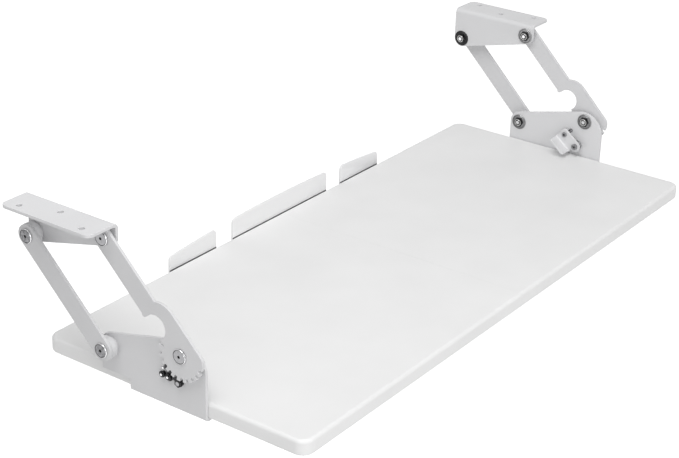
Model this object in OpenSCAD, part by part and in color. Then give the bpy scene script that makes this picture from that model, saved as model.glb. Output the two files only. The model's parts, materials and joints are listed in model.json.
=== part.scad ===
// Keyboard tray that hangs under a desk on two parallel-arm brackets.
// X runs to the user's right, Y to the rear and Z up.
// The origin is the centre of the four outer desk screw holes, on the underside of the desk.

/* [Tray] */
// Overall width of the two boards together
tray_w = 680; // [600:5:760]
// Depth of the boards from front to rear
tray_d = 290; // [260:5:320]
// Thickness of the boards
tray_t = 15; // [14:0.5:18]
// Plan radius of the outer corners
tray_corner_r = 12; // [8:1:20]
// Radius of the boards' rounded top edges
tray_top_r = 3.5; // [2:0.25:5]
// Radius of the boards' eased bottom edges
tray_edge_r = 2; // [1.75:0.25:3]
// Gap at the seam between the two boards
seam_gap = 0.1; // [0.1:0.1:0.6]

/* [Linkage] */
// Distance between the two pivots of an arm
arm_len = 118; // [112:1:124]
// Distance between the front and rear pivots of a bracket
pivot_pitch = 86; // [84:0.5:89]
// Slope of the line through the two pivots of a bracket, in degrees
pivot_tilt = 14; // [12:0.5:16]
// Angle of the arms above the horizontal at rest, in degrees
lift_angle = 44.5; // [43:0.5:47]
// Width of the straight part of an arm
arm_w = 20.4; // [18:0.2:21]
// Thickness of an arm
arm_t = 3; // [2.5:0.1:3.2]
// Height of the front lower pivot above the tray's top
pivot_height = 41; // [40:0.5:46]
// Distance of the front lower pivot in front of the tray's middle
pivot_setback = 21.5; // [10:0.5:30]

/* [Brackets] */
// Thickness of the bracket sheet
plate_t = 3; // [2.5:0.1:3.2]
// Depth of the front upper pivot below the desk
pivot_drop = 13.6; // [13.3:0.1:16]
// Radius of the desk bracket's lobes around its pivots
desk_lobe_r = 9.8; // [9.4:0.1:11]
// Outer radius of the desk bracket's bend
desk_bend_r = 5; // [4:0.25:6]
// Width of the desk bracket's top flange
flange_w = 35.5; // [33.5:0.5:40]
// Radius of the flange's two outer corners
flange_corner_r = 7; // [4:0.5:10]
// Distance between the front and rear desk screws
desk_hole_pitch = 72.5; // [66:0.5:76]
// Distance of the front desk screw behind the flange's front edge
desk_hole_inset = 15.3; // [13:0.1:18]
// Distance of the outer desk screws from the bracket's inner face
outer_hole_x = 27; // [24:0.5:28.5]
// Distance of the middle desk screw from the bracket's inner face
inner_hole_x = 14.5; // [12:0.5:15.5]
// Diameter of the desk screw holes
desk_hole_d = 5.5; // [4.5:0.1:6.5]
// Radius of the base bracket's lobe around its rear pivot
base_lobe_r = 11.5; // [10.5:0.1:12]
// Distance of the base bracket's front edge in front of its front pivot
base_front = 22; // [21:0.5:24.5]
// Radius of the base bracket's front upper corner
base_corner_r = 25; // [20:0.5:27]
// Length of the flange under the tray
under_len = 85; // [80:1:90]
// Width of the flange under the tray
under_w = 30; // [26:1:36]
// Gap between the boards' ends and the bracket plates
side_gap = 0.3; // [0.1:0.1:0.5]

/* [Pivots] */
// Diameter of the pivot bolts
bolt_d = 6; // [5.6:0.1:6.4]
// Diameter of the pivot bolt heads
bolt_head_d = 13.6; // [13:0.1:15]
// Height of the pivot bolt heads
bolt_head_h = 1.9; // [1.7:0.1:2.2]
// Diameter of the front spacers between plate and arm
front_spacer_d = 14; // [12:0.5:16]
// Length of the front spacers and of the rear spacers' necks
spacer_len = 3.4; // [3.2:0.1:3.8]
// Space between the front arm and the rear arm
arm_space = 2.8; // [2.6:0.1:3.2]
// Diameter of the rear spacers' inner neck
rear_neck_d = 16; // [14:0.5:18]
// Diameter of the rear spacers' drum
drum_d = 20.8; // [20:0.1:21]
// Diameter of the inner washers
washer_d = 17.5; // [15.5:0.5:18.5]
// Thickness of the inner washers
washer_t = 1; // [0.8:0.1:1.4]
// Width of the nuts across their flats
nut_af = 10; // [9.6:0.1:10.6]
// Height of the nuts
nut_h = 2.4; // [2:0.1:3.2]

/* [Ratchet] */
// Outer radius of the toothed sector
sector_r = 24; // [23.5:0.1:24.3]
// Depth of the tooth gaps
gap_depth = 3.6; // [3.2:0.1:3.8]
// Width of the tooth gaps
gap_w = 3.2; // [3.1:0.1:3.5]
// Number of tooth steps between the rest position and the stowed one
steps_up = 7; // [7:1:8]
// Number of tooth steps from rest to the raised front position
steps_down = 2; // [1:1:2]
// Angle by which the stowed arm stops short of the pivot line, in degrees
seat_angle = 4.7; // [4.4:0.1:5.2]
// Distance of the lever's pivot behind the front lower pivot
lever_y = 5; // [4.6:0.1:5.4]
// Distance of the lever's pivot below the front lower pivot
lever_drop = 28.8; // [28.6:0.1:29.4]
// Distance between the lever's pivot and its ratchet pin
lever_r = 18; // [17.5:0.1:18.5]
// Diameter of the ratchet pin
pin_d = 2.6; // [2.4:0.1:2.7]
// Thickness of the lever plate and of the pawl
lever_t = 2; // [1.6:0.1:2.2]
// Length of the finger tab
tab_len = 14; // [12:0.5:16]

/* [Rear stop] */
// Thickness of the rear stop's sheet
stop_t = 2; // [1.5:0.1:3]
// Height of the middle tab above the boards
stop_h = 22; // [16:0.5:28]
// Radius of the arch that the tabs' tops follow
stop_arch_r = 1900; // [1700:50:2600]
// Width of the middle tab
mid_tab_w = 158; // [130:1:170]
// Width of each outer tab
end_tab_w = 70; // [60:1:80]
// Gap between two tabs
tab_gap = 25; // [20:1:35]
// Radius of the tabs' upper corners
tab_corner_r = 5; // [3:0.5:7]

/* [Fasteners] */
// Diameter of the wood screws
screw_d = 3.8; // [3.2:0.1:4.2]
// Diameter of the wood screws' heads
screw_head_d = 7.2; // [6.6:0.1:8]
// Length of the wood screws under their heads
screw_len = 12; // [9:0.5:13]
// Diameter of the dowels across the seam
dowel_d = 8; // [6:0.5:9]
// Length of the dowels
dowel_len = 40; // [30:1:50]
// Length of a joiner plate across the seam
joiner_len = 90; // [80:1:110]
// Width of a joiner plate
joiner_w = 36; // [30:1:44]
// Thickness of a joiner plate
joiner_t = 2; // [1.5:0.1:3]

/* [Hidden] */
$fn = 48;

// Radial clearance of a shaft that turns in a hole
run_r = 0.05;
// Axial clearance beside a part that turns
run_x = 0.1;
// Clearance between parts that pass each other
pass = 0.4;
// Small overlap that keeps cuts clean
eps = 0.01;

// Pivot places in the Y and Z plane
flange_front_y = -desk_hole_pitch / 2 - desk_hole_inset;
upper_front = [flange_front_y + desk_lobe_r, -pivot_drop];
pivot_line = pivot_pitch * [cos(pivot_tilt), -sin(pivot_tilt)];
upper_rear = upper_front + pivot_line;
lower_front = upper_front - arm_len * [cos(lift_angle), sin(lift_angle)];
lower_rear = lower_front + pivot_line;
flange_rear_y = upper_rear[0] + desk_lobe_r;
flange_len = flange_rear_y - flange_front_y;

// Tray faces
tray_y = lower_front[0] + pivot_setback;
tray_top = lower_front[1] - pivot_height;
tray_bottom = tray_top - tray_t;
tray_rear_y = tray_y + tray_d / 2;
half_w = tray_w / 2;
plate_x = half_w + side_gap;

// Stack of parts outwards from the tray's end
front_arm_x = plate_t + spacer_len + run_x;
rear_arm_x = front_arm_x + arm_t + arm_space;
drum_len = rear_arm_x - run_x - plate_t - spacer_len;
hole_r = bolt_d / 2 + run_r;

// Outer radius of the base bracket's bend, inside which the board's rounded edge fits
base_bend_r = plate_t + tray_edge_r - 0.5;

// Lever places relative to the front lower pivot
lever_at = [lever_y, -lever_drop];
lever_dist = norm(lever_at);
lever_dir = atan2(lever_at[1], lever_at[0]);
free_r = sector_r + pin_d / 2 + pass;
locked_r = sector_r - gap_depth + pin_d / 2 + pass / 2;
function pin_dir(r) =
    lever_dir + acos((lever_dist * lever_dist + r * r - lever_r * lever_r) / (2 * lever_dist * r));
function pin_at(r) = r * [cos(pin_dir(r)), sin(pin_dir(r))];
function lever_turn(r) = atan2(pin_at(r)[1] - lever_at[1], pin_at(r)[0] - lever_at[0]);
lever_angle = lever_turn(free_r);
lever_lock = lever_turn(locked_r) - lever_angle;
lever_release = 8;
lever_place = lower_front + lever_at;

// Swing of the arms from rest to the stowed place
swing_up = 180 - pivot_tilt - seat_angle - lift_angle;
tooth_pitch = swing_up / steps_up;

// Notch of the front arm, which takes the rear drum when the tray is stowed
notch_r = drum_d / 2 + 1;
notch_at = [
    arm_len - pivot_pitch * cos(seat_angle) - 0.3,
    -pivot_pitch * sin(seat_angle) + 0.5
];
shoulder_v = 19.5;
shoulder_r = 20;
hook_r = 2;

// Puts right-hand parts, drawn from the plate's inner face outwards, on either side
module on_side(side) {
    if (side == "left") {
        mirror([1, 0, 0]) translate([plate_x, 0, 0]) children();
    } else {
        translate([plate_x, 0, 0]) children();
    }
}

// Extrudes a shape drawn in Y and Z along X
module plate_yz(x, t) {
    translate([x, 0, 0]) rotate([90, 0, 90]) linear_extrude(t) children();
}

// Round bar along X at a Y and Z place
module bar_x(at, x, len, r) {
    translate([x, at[0], at[1]]) rotate([0, 90, 0]) cylinder(h = len, r = r);
}

// Ring along X at a Y and Z place
module ring_x(at, x, len, r, bore_r) {
    difference() {
        bar_x(at, x, len, r);
        bar_x(at, x - 1, len + 2, bore_r);
    }
}

// Rectangle with its four corners rounded, from its lowest corner
module round_rect(w, h, r) {
    translate([r, 0]) square([w - 2 * r, h]);
    translate([0, r]) square([w, h - 2 * r]);
    for (x = [r, w - r], y = [r, h - r]) translate([x, y]) circle(r = r);
}

// Points along an arc, with the first and last ones left out if skip is 1
function arc(centre, r, from, to, steps, skip = 0) = [
    for (i = [skip : steps - skip])
        let (a = from + (to - from) * i / steps) centre + r * [cos(a), sin(a)]
];

// Square stub that rounds a corner when it is taken away
module corner_cut(r) {
    difference() {
        translate([-eps, -eps]) square(r + 2 * eps);
        circle(r = r);
    }
}

// Wood screw pointing up, with its head under the XY plane
module wood_screw() {
    head_h = 2.2;
    point = 2;
    difference() {
        union() {
            translate([0, 0, -head_h]) cylinder(h = head_h, r1 = screw_head_d / 2 - 1, r2 = screw_head_d / 2);
            cylinder(h = screw_len - point, r = screw_d / 2);
            translate([0, 0, screw_len - point]) cylinder(h = point, r1 = screw_d / 2, r2 = 0.4);
        }
        for (a = [0, 90]) rotate(a) translate([-1.9, -0.45, -head_h - eps]) cube([3.8, 0.9, 1.2]);
    }
}

// Pilot hole for a wood screw that points up
module pilot_hole() {
    translate([0, 0, -1]) cylinder(h = screw_len + 2, r = screw_d / 2 + run_r);
}

// Places of the screws that hold each base bracket to its board
base_screw_x = -under_w * 0.6;
base_screw_inset = 12;
function base_screw_ys() = [
    lower_front[0] - base_front + base_screw_inset,
    lower_front[0] - base_front + under_len / 2,
    lower_front[0] - base_front + under_len - base_screw_inset
];

// Places of the screws in one joiner plate
joiner_ys = [tray_y - tray_d * 0.3, tray_y + tray_d * 0.3];
joiner_screw_inset = [14, 9];
joiner_screw_x = joiner_len / 2 - joiner_screw_inset[0];
joiner_screw_y = joiner_w / 2 - joiner_screw_inset[1];

// Places of the dowels and of the rear stop's screws
dowel_ys = [tray_y - tray_d * 0.4, tray_y, tray_y + tray_d * 0.4];
end_tab_x = mid_tab_w / 2 + tab_gap;
stop_screw_xs = [-end_tab_x - end_tab_w / 2, -mid_tab_w / 3, mid_tab_w / 3, end_tab_x + end_tab_w / 2];
stop_screw_z = tray_top - tray_t / 2;

// Cross-section of the tray, with its edges eased, from its lowest corner
module board_section(w) {
    translate([0, tray_edge_r]) square([w, tray_t - tray_edge_r - tray_top_r]);
    translate([tray_edge_r, 0]) square([w - 2 * tray_edge_r, tray_t / 2]);
    translate([tray_top_r, tray_t / 2]) square([w - 2 * tray_top_r, tray_t / 2]);
    for (x = [tray_edge_r, w - tray_edge_r]) translate([x, tray_edge_r]) circle(r = tray_edge_r);
    for (x = [tray_top_r, w - tray_top_r]) translate([x, tray_t - tray_top_r]) circle(r = tray_top_r);
}

// One of the two boards, with the bores for its dowels and screws
module board(side) {
    color("whitesmoke") difference() {
        intersection() {
            translate([-half_w, tray_y - tray_d / 2, tray_bottom])
                linear_extrude(tray_t) round_rect(tray_w, tray_d, tray_corner_r);
            translate([0, tray_rear_y, 0]) rotate([90, 0, 0]) linear_extrude(tray_d)
                translate([-half_w, tray_bottom]) board_section(tray_w);
            plate_yz(-half_w, tray_w) translate([tray_y - tray_d / 2, tray_bottom])
                board_section(tray_d);
            translate([side > 0 ? seam_gap / 2 : -half_w - 1, tray_y - tray_d, tray_bottom - 1])
                cube([half_w + 1 - seam_gap / 2, 2 * tray_d, tray_t + 2]);
        }
        for (y = dowel_ys)
            bar_x([y, tray_bottom + tray_t / 2], -dowel_len / 2 - 1, dowel_len + 2, dowel_d / 2 + run_r);
        for (y = base_screw_ys()) translate([side * (plate_x + base_screw_x), y, tray_bottom]) pilot_hole();
        for (y = joiner_ys, x = [-1, 1], v = [-1, 1])
            translate([x * joiner_screw_x, y + v * joiner_screw_y, tray_bottom]) pilot_hole();
        for (x = stop_screw_xs) translate([x, tray_rear_y, stop_screw_z]) rotate([90, 0, 0]) pilot_hole();
    }
}

// One tab of the rear stop, from x0 to x1, drawn in X and Z above the boards, with an arched top
module stop_tab(x0, x1, foot) {
    arch = [0, stop_h - stop_arch_r];
    corner_arch_r = stop_arch_r - tab_corner_r;
    dir0 = acos((x0 + tab_corner_r) / corner_arch_r);
    dir1 = acos((x1 - tab_corner_r) / corner_arch_r);
    polygon(concat(
        [[x0, foot], [x1, foot]],
        arc(arch + corner_arch_r * [cos(dir1), sin(dir1)], tab_corner_r, 0, dir1, 8),
        arc(arch, stop_arch_r, dir1, dir0, 10, 1),
        arc(arch + corner_arch_r * [cos(dir0), sin(dir0)], tab_corner_r, dir0, 180, 8)
    ));
}

// Steel strip behind the boards, with three tabs that keep a keyboard from sliding off
module rear_stop() {
    foot = -tray_t + 1;
    strip_top = -3;
    half_l = end_tab_x + end_tab_w;
    color("whitesmoke") difference() {
        translate([0, tray_rear_y + stop_t, tray_top]) rotate([90, 0, 0]) linear_extrude(stop_t) {
            translate([-half_l, foot]) square([2 * half_l, strip_top - foot]);
            stop_tab(-mid_tab_w / 2, mid_tab_w / 2, foot);
            stop_tab(end_tab_x, half_l, foot);
            stop_tab(-half_l, -end_tab_x, foot);
        }
        for (x = stop_screw_xs) translate([x, tray_rear_y - 1, stop_screw_z])
            rotate([-90, 0, 0]) cylinder(h = stop_t + 2, r = screw_d / 2 + run_r);
    }
}

module rear_stop_screws() {
    color("silver") for (x = stop_screw_xs)
        translate([x, tray_rear_y + stop_t, stop_screw_z]) rotate([90, 0, 0]) wood_screw();
}

// Two flat steel plates under the seam
module joiner_plates() {
    joiner_corner_r = 4;
    color("silver") for (y = joiner_ys) difference() {
        translate([-joiner_len / 2, y - joiner_w / 2, tray_bottom - joiner_t])
            linear_extrude(joiner_t) round_rect(joiner_len, joiner_w, joiner_corner_r);
        for (x = [-1, 1], v = [-1, 1])
            translate([x * joiner_screw_x, y + v * joiner_screw_y, tray_bottom - joiner_t - 1])
                cylinder(h = joiner_t + 2, r = screw_d / 2 + run_r);
    }
}

module joiner_screws() {
    color("silver") for (y = joiner_ys, x = [-1, 1], v = [-1, 1])
        translate([x * joiner_screw_x, y + v * joiner_screw_y, tray_bottom - joiner_t]) wood_screw();
}

module dowels() {
    color("burlywood") for (y = dowel_ys)
        bar_x([y, tray_bottom + tray_t / 2], -dowel_len / 2, dowel_len, dowel_d / 2);
}

// Desk bracket: an upright plate with two pivot holes, bent outwards into a flange
module desk_bracket() {
    down = [-sin(pivot_tilt), -cos(pivot_tilt)];
    color("whitesmoke") difference() {
        union() {
            plate_yz(0, plate_t) {
                translate(upper_front) circle(r = desk_lobe_r);
                translate(upper_rear) circle(r = desk_lobe_r);
                polygon([
                    [flange_front_y, -desk_bend_r],
                    [flange_front_y, upper_front[1]],
                    upper_front + desk_lobe_r * down,
                    upper_rear + desk_lobe_r * down,
                    [flange_rear_y, upper_rear[1]],
                    [flange_rear_y, -desk_bend_r]
                ]);
            }
            translate([0, flange_rear_y, 0]) rotate([90, 0, 0]) linear_extrude(flange_len)
                translate([desk_bend_r, -desk_bend_r]) intersection() {
                    difference() {
                        circle(r = desk_bend_r);
                        circle(r = desk_bend_r - plate_t);
                    }
                    translate([-desk_bend_r, 0]) square(desk_bend_r);
                }
            translate([0, flange_front_y, -plate_t]) linear_extrude(plate_t) difference() {
                translate([desk_bend_r, 0]) square([flange_w - desk_bend_r, flange_len]);
                translate([flange_w - flange_corner_r, flange_len - flange_corner_r])
                    corner_cut(flange_corner_r);
                translate([flange_w - flange_corner_r, flange_corner_r])
                    mirror([0, 1]) corner_cut(flange_corner_r);
            }
        }
        for (p = [upper_front, upper_rear]) bar_x(p, -1, plate_t + 2, hole_r);
        for (y = [-1, 1]) translate([outer_hole_x, y * desk_hole_pitch / 2, -plate_t - 1])
            cylinder(h = plate_t + 2, r = desk_hole_d / 2);
        translate([inner_hole_x, 0, -plate_t - 1]) cylinder(h = plate_t + 2, r = desk_hole_d / 2);
    }
}

// Base bracket: an upright plate at the board's end, bent inwards under the board
module base_bracket() {
    up = [sin(pivot_tilt), cos(pivot_tilt)];
    front_y = lower_front[0] - base_front;
    rear_y = lower_rear[0] + base_lobe_r;
    corner_y = base_corner_r - base_front;
    corner_z = (base_lobe_r - base_corner_r - corner_y * sin(pivot_tilt)) / cos(pivot_tilt);
    corner = lower_front + [corner_y, corner_z];
    foot_z = tray_bottom - plate_t;
    bend_z = foot_z + base_bend_r;
    rear_foot_z = tray_top - 6;
    color("whitesmoke") difference() {
        union() {
            plate_yz(0, plate_t) {
                translate(corner) circle(r = base_corner_r);
                translate(lower_rear) circle(r = base_lobe_r);
                polygon([
                    [front_y, bend_z],
                    [front_y, corner[1]],
                    corner + base_corner_r * up,
                    lower_rear + base_lobe_r * up,
                    [rear_y, lower_rear[1]],
                    [rear_y, rear_foot_z],
                    [front_y + under_len, rear_foot_z],
                    [front_y + under_len, bend_z]
                ]);
            }
            translate([0, front_y + under_len, 0]) rotate([90, 0, 0]) linear_extrude(under_len)
                translate([plate_t - base_bend_r, bend_z]) intersection() {
                    difference() {
                        circle(r = base_bend_r);
                        circle(r = base_bend_r - plate_t);
                    }
                    translate([0, -base_bend_r]) square(base_bend_r);
                }
            translate([0, front_y, foot_z]) linear_extrude(plate_t) difference() {
                translate([-under_w, 0]) square([under_w + plate_t - base_bend_r, under_len]);
                translate([base_bend_r - under_w, under_len - base_bend_r])
                    mirror([1, 0]) corner_cut(base_bend_r);
                translate([base_bend_r - under_w, base_bend_r]) rotate(180) corner_cut(base_bend_r);
            }
        }
        for (p = [lower_front, lower_rear]) bar_x(p, -1, plate_t + 2, hole_r);
        bar_x(lever_place, -1, plate_t + 2, lever_pivot_d / 2 + run_r);
        bar_x(stud_place, -1, plate_t + 2, stud_d / 2 + run_r);
        plate_yz(-1, plate_t + 2) translate(lever_place) lever_slot();
        for (y = base_screw_ys()) translate([base_screw_x, y, foot_z - 1])
            cylinder(h = plate_t + 2, r = screw_d / 2 + run_r);
    }
}

// Curved slot, around the lever's pivot, in which the lever's screw moves
module lever_slot() {
    slot_r = lever_screw_d / 2 + pass;
    from = lever_angle - lever_release - 1;
    to = lever_angle + lever_lock + 1;
    polygon(concat(
        arc([0, 0], lever_r + slot_r, from, to, 10),
        arc(lever_r * [cos(to), sin(to)], slot_r, to, to + 180, 12, 1),
        arc([0, 0], lever_r - slot_r, to, from, 10),
        arc(lever_r * [cos(from), sin(from)], slot_r, from + 180, from + 360, 12, 1)
    ));
}

module base_screws() {
    color("silver") for (y = base_screw_ys())
        translate([base_screw_x, y, tray_bottom - plate_t]) wood_screw();
}

// Pivot bolt along X, with a low domed head at its outer end and a thread end inside
module pivot_bolt(at, under_head) {
    edge = 0.6;
    thread_over = 0.5;
    inner_end = -washer_t - nut_h - thread_over;
    socket_d = 4.6;
    socket_h = 1;
    translate([0, at[0], at[1]]) rotate([0, 90, 0]) color("silver") difference() {
        rotate_extrude() polygon([
            [0, inner_end],
            [bolt_d / 2 - edge, inner_end],
            [bolt_d / 2, inner_end + edge],
            [bolt_d / 2, under_head],
            [bolt_head_d / 2, under_head],
            [bolt_head_d / 2, under_head + bolt_head_h - 2 * edge],
            [bolt_head_d / 2 - edge, under_head + bolt_head_h - edge / 2],
            [bolt_head_d / 2 - 3 * edge, under_head + bolt_head_h],
            [0, under_head + bolt_head_h]
        ]);
        translate([0, 0, under_head + bolt_head_h - socket_h]) cylinder(h = socket_h + 1, d = socket_d, $fn = 6);
    }
}

module front_bolt(at) {
    pivot_bolt(at, front_arm_x + arm_t + run_x);
}

module rear_bolt(at) {
    pivot_bolt(at, rear_arm_x + arm_t + run_x);
}

module front_spacer(at) {
    color("gainsboro") ring_x(at, plate_t, spacer_len, front_spacer_d / 2, hole_r);
}

// Stepped spacer: its drum holds the rear arm clear and stops the front arm
module rear_spacer(at) {
    color("whitesmoke") difference() {
        union() {
            bar_x(at, plate_t, spacer_len, rear_neck_d / 2);
            bar_x(at, plate_t + spacer_len, drum_len, drum_d / 2);
        }
        bar_x(at, 0, plate_t + spacer_len + drum_len + 1, hole_r);
    }
}

module washers(places) {
    color("dimgray") for (p = places) ring_x(p, -washer_t, washer_t, washer_d / 2, hole_r);
}

// Hexagon nuts inside the plate, each with a round collar at its free end
module nuts(places) {
    collar = 0.8;
    color("silver") for (p = places) difference() {
        union() {
            translate([-washer_t - nut_h + collar, p[0], p[1]]) rotate([0, 90, 0])
                cylinder(h = nut_h - collar, d = nut_af / cos(30), $fn = 6);
            bar_x(p, -washer_t - nut_h, collar, nut_af / 2 - 1);
        }
        bar_x(p, -washer_t - nut_h - 1, nut_h + 2, hole_r);
    }
}

// Front arm, drawn from its lower pivot along the arm: bar, shoulder, notch and toothed sector
module front_arm_shape() {
    heel_r = 8;
    heel_u = -sqrt(pow(sector_r - heel_r, 2) - pow(shoulder_v - heel_r, 2));
    heel_dir = atan2(shoulder_v - heel_r, heel_u);
    lip_dir = -35;
    lip = sector_r * [cos(lip_dir), sin(lip_dir)];
    far = 2 * sector_r;
    difference() {
        union() {
            difference() {
                union() {
                    translate([0, -arm_w / 2]) square([arm_len, arm_w]);
                    translate([arm_len, 0]) circle(r = arm_w / 2);
                    translate([heel_u, 0]) square([notch_at[0] - heel_u, shoulder_v]);
                    translate([heel_u, shoulder_v - heel_r]) circle(r = heel_r);
                    intersection() {
                        translate([notch_at[0], shoulder_v - shoulder_r]) circle(r = shoulder_r);
                        translate([notch_at[0], 0]) square([shoulder_r, shoulder_v]);
                    }
                    intersection() {
                        circle(r = sector_r);
                        polygon([
                            [0, 0],
                            far * [cos(heel_dir), sin(heel_dir)],
                            [-far, 0],
                            [-far, -far],
                            [far, -far],
                            far * [cos(lip_dir), sin(lip_dir)]
                        ]);
                    }
                }
                translate(notch_at) circle(r = notch_r);
                polygon([
                    notch_at + [-notch_r + 0.3, -2],
                    lip + [0.3, 0.3],
                    lip + [0.3, -4],
                    [notch_at[0] + notch_r + 1, lip[1] - 4],
                    [notch_at[0] + notch_r + 1, -arm_w / 2 + hook_r - 1],
                    notch_at + [notch_r - 0.3, -1]
                ]);
            }
            translate([notch_at[0] + notch_r + hook_r + 0.8, -arm_w / 2 + hook_r - 1]) circle(r = hook_r);
        }
        for (k = [-steps_up : steps_down])
            rotate(pin_dir(locked_r) - lift_angle + k * tooth_pitch)
                translate([sector_r - gap_depth + gap_w / 2, 0]) {
                    circle(r = gap_w / 2);
                    translate([0, -gap_w / 2]) square([gap_depth, gap_w]);
                }
        circle(r = hole_r);
        translate([arm_len, 0]) circle(r = hole_r);
    }
}

module front_arm() {
    color("whitesmoke") plate_yz(front_arm_x, arm_t)
        translate(lower_front) rotate(lift_angle) front_arm_shape();
}

// Rear arm: a plain bar with round ends, and more room at its lower hole
module rear_arm() {
    lower_play = 0.25;
    color("whitesmoke") plate_yz(rear_arm_x, arm_t) translate(lower_rear) rotate(lift_angle) difference() {
        union() {
            translate([0, -arm_w / 2]) square([arm_len, arm_w]);
            circle(r = arm_w / 2);
            translate([arm_len, 0]) circle(r = arm_w / 2);
        }
        circle(r = hole_r + lower_play);
        translate([arm_len, 0]) circle(r = hole_r);
    }
}

// Parts of the release lever, seen from its pivot with its screw along the first axis
lever_pivot_d = 4;
lever_screw_d = 3.5;
lever_gap = 7;
lever_x = -lever_gap - lever_t;
lobe_r = 6;
lever_reach = [lever_r + lobe_r - 0.4, lobe_r];
tab_drop = 11.5;
pawl_x = plate_t + pass;
pawl_top_x = pawl_x + lever_t;
pawl_w = 7.2;
rivet_d = 3;
rivet_at = [10, -6.1];
button_d = 6.2;
button_h = 2.1;

// Stud that anchors the spring inside the bracket and stops the pawl outside it
stud_d = 4;
stud_at = [18.4, 2.1];
stud_place = lever_place + stud_at;
stud_end_x = -2.2;

// Torsion spring around the lever's sleeve, between the stud and the lever's screw
spring_wire = 1;
spring_pitch = 1.5;
spring_r = 4.6;
spring_turns = 3;
sleeve_r = 3.6;
spring_end_x = -1;
stud_leg_dir = atan2(stud_at[1], stud_at[0])
    - asin((spring_r - (stud_d + spring_wire) / 2 - 0.1) / norm(stud_at));
screw_leg_dir = lever_angle + asin((spring_r - (lever_screw_d + spring_wire) / 2 - 0.1) / lever_r);
spring_from = stud_leg_dir + 90;
spring_to = screw_leg_dir - 90 + 360 * spring_turns;
spring_x = spring_end_x - spring_pitch * (spring_to - spring_from) / 360;

// Inner plate of the lever, with the finger tab that is bent towards the tray's middle
module release_lever() {
    top_corner_r = 4;
    tab_corner_r = 3;
    tab_u = 1;
    tab_bend_r = 2 * lever_t;
    tab_w = lever_reach[0] - tab_u;
    color("gainsboro") translate([0, lever_place[0], lever_place[1]]) rotate([lever_angle, 0, 0]) difference() {
        union() {
            plate_yz(lever_x, lever_t) {
                circle(r = lobe_r);
                difference() {
                    union() {
                        square(lever_reach);
                        translate([tab_u, tab_bend_r - tab_drop]) square([tab_w, tab_drop]);
                    }
                    translate(lever_reach - [top_corner_r, top_corner_r]) corner_cut(top_corner_r);
                }
            }
            translate([0, 0, -tab_drop]) linear_extrude(lever_t) difference() {
                translate([lever_x - tab_len, tab_u]) square([tab_len + lever_t - tab_bend_r, tab_w]);
                translate([lever_x - tab_len + tab_corner_r, tab_u + tab_corner_r])
                    rotate(180) corner_cut(tab_corner_r);
                translate([lever_x - tab_len + tab_corner_r, tab_u + tab_w - tab_corner_r])
                    mirror([1, 0]) corner_cut(tab_corner_r);
            }
            translate([lever_x + lever_t - tab_bend_r, tab_u, tab_bend_r - tab_drop])
                rotate([-90, 0, 0]) linear_extrude(tab_w) intersection() {
                    difference() {
                        circle(r = tab_bend_r);
                        circle(r = tab_bend_r - lever_t);
                    }
                    square(tab_bend_r);
                }
        }
        bar_x([0, 0], lever_x - 1, lever_t + 2, lever_pivot_d / 2 + run_r);
        bar_x([lever_r, 0], lever_x - 1, lever_t + 2, lever_screw_d / 2 + run_r);
    }
}

// Sleeve between the lever and the bracket, around the lever's pivot
module lever_sleeve() {
    color("silver") ring_x(lever_place, -lever_gap, lever_gap - run_x, sleeve_r, lever_pivot_d / 2 + run_r);
}

// Cross-shaped recess in the inner face of a screw head
module cross_recess(at, head_x, w, turn) {
    for (a = [0, 90]) translate([head_x - eps, at[0], at[1]])
        rotate([a + turn, 0, 0]) translate([0, -w / 2, -w / 8]) cube([1.1, w, w / 4]);
}

// Shoulder screw on which the lever and the pawl turn
module lever_pivot() {
    head_h = 2;
    head_r = 3.5;
    head_x = lever_x - run_x - head_h;
    end_x = lever_nut_x + lever_nut_h + 0.5;
    color("silver") difference() {
        union() {
            bar_x(lever_place, head_x, head_h, head_r);
            bar_x(lever_place, head_x, end_x - head_x, lever_pivot_d / 2);
        }
        cross_recess(lever_place, head_x, 4, 20);
    }
}

// Nut of the lever's pivot, outside the pawl
lever_nut_af = 7;
lever_nut_h = 2;
lever_nut_x = pawl_top_x + run_x;
module lever_pivot_nut() {
    color("silver") difference() {
        translate([lever_nut_x, lever_place[0], lever_place[1]]) rotate([0, 90, 0])
            cylinder(h = lever_nut_h, d = lever_nut_af / cos(30), $fn = 6);
        bar_x(lever_place, lever_nut_x - 1, lever_nut_h + 2, lever_pivot_d / 2 + run_r);
    }
}

// Screw that ties the lever to the pawl through the bracket's slot
module lever_screw() {
    head_h = 1.8;
    head_r = 2.8;
    head_x = lever_x - head_h;
    at = lever_place + lever_r * [cos(lever_angle), sin(lever_angle)];
    color("silver") difference() {
        union() {
            bar_x(at, head_x, head_h, head_r);
            bar_x(at, head_x, pawl_x - head_x, lever_screw_d / 2);
        }
        cross_recess(at, head_x, 3.4, 35);
    }
}

// Pawl outside the bracket, whose pin drops into the gaps of the toothed sector
module ratchet_pawl() {
    ear_r = 4.2;
    pin_over = 0.5;
    color("silver") translate([0, lever_place[0], lever_place[1]]) rotate([lever_angle, 0, 0]) difference() {
        union() {
            plate_yz(pawl_x, lever_t) {
                circle(r = pawl_w / 2);
                translate([0, -pawl_w / 2]) square([lever_r, pawl_w]);
                translate([lever_r, 0]) circle(r = pawl_w / 2);
                translate(rivet_at) circle(r = ear_r);
            }
            bar_x([lever_r, 0], pawl_x, front_arm_x + arm_t + pin_over - pawl_x, pin_d / 2);
        }
        bar_x([0, 0], pawl_x - 1, lever_t + 2, lever_pivot_d / 2 + run_r);
        bar_x(rivet_at, pawl_x - 1, lever_t + 2, rivet_d / 2 + run_r);
    }
}

// Domed head along X, like the ones of the rivet and the stud
module button(at, x) {
    rim_h = 0.7;
    translate([x, at[0], at[1]]) rotate([0, 90, 0]) rotate_extrude() polygon(concat(
        [[0, 0], [button_d / 2, 0]],
        [for (k = [0 : 6]) [button_d / 2 * cos(12 * k), rim_h + (button_h - rim_h) * sin(12 * k)]],
        [[0, button_h]]
    ));
}

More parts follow.
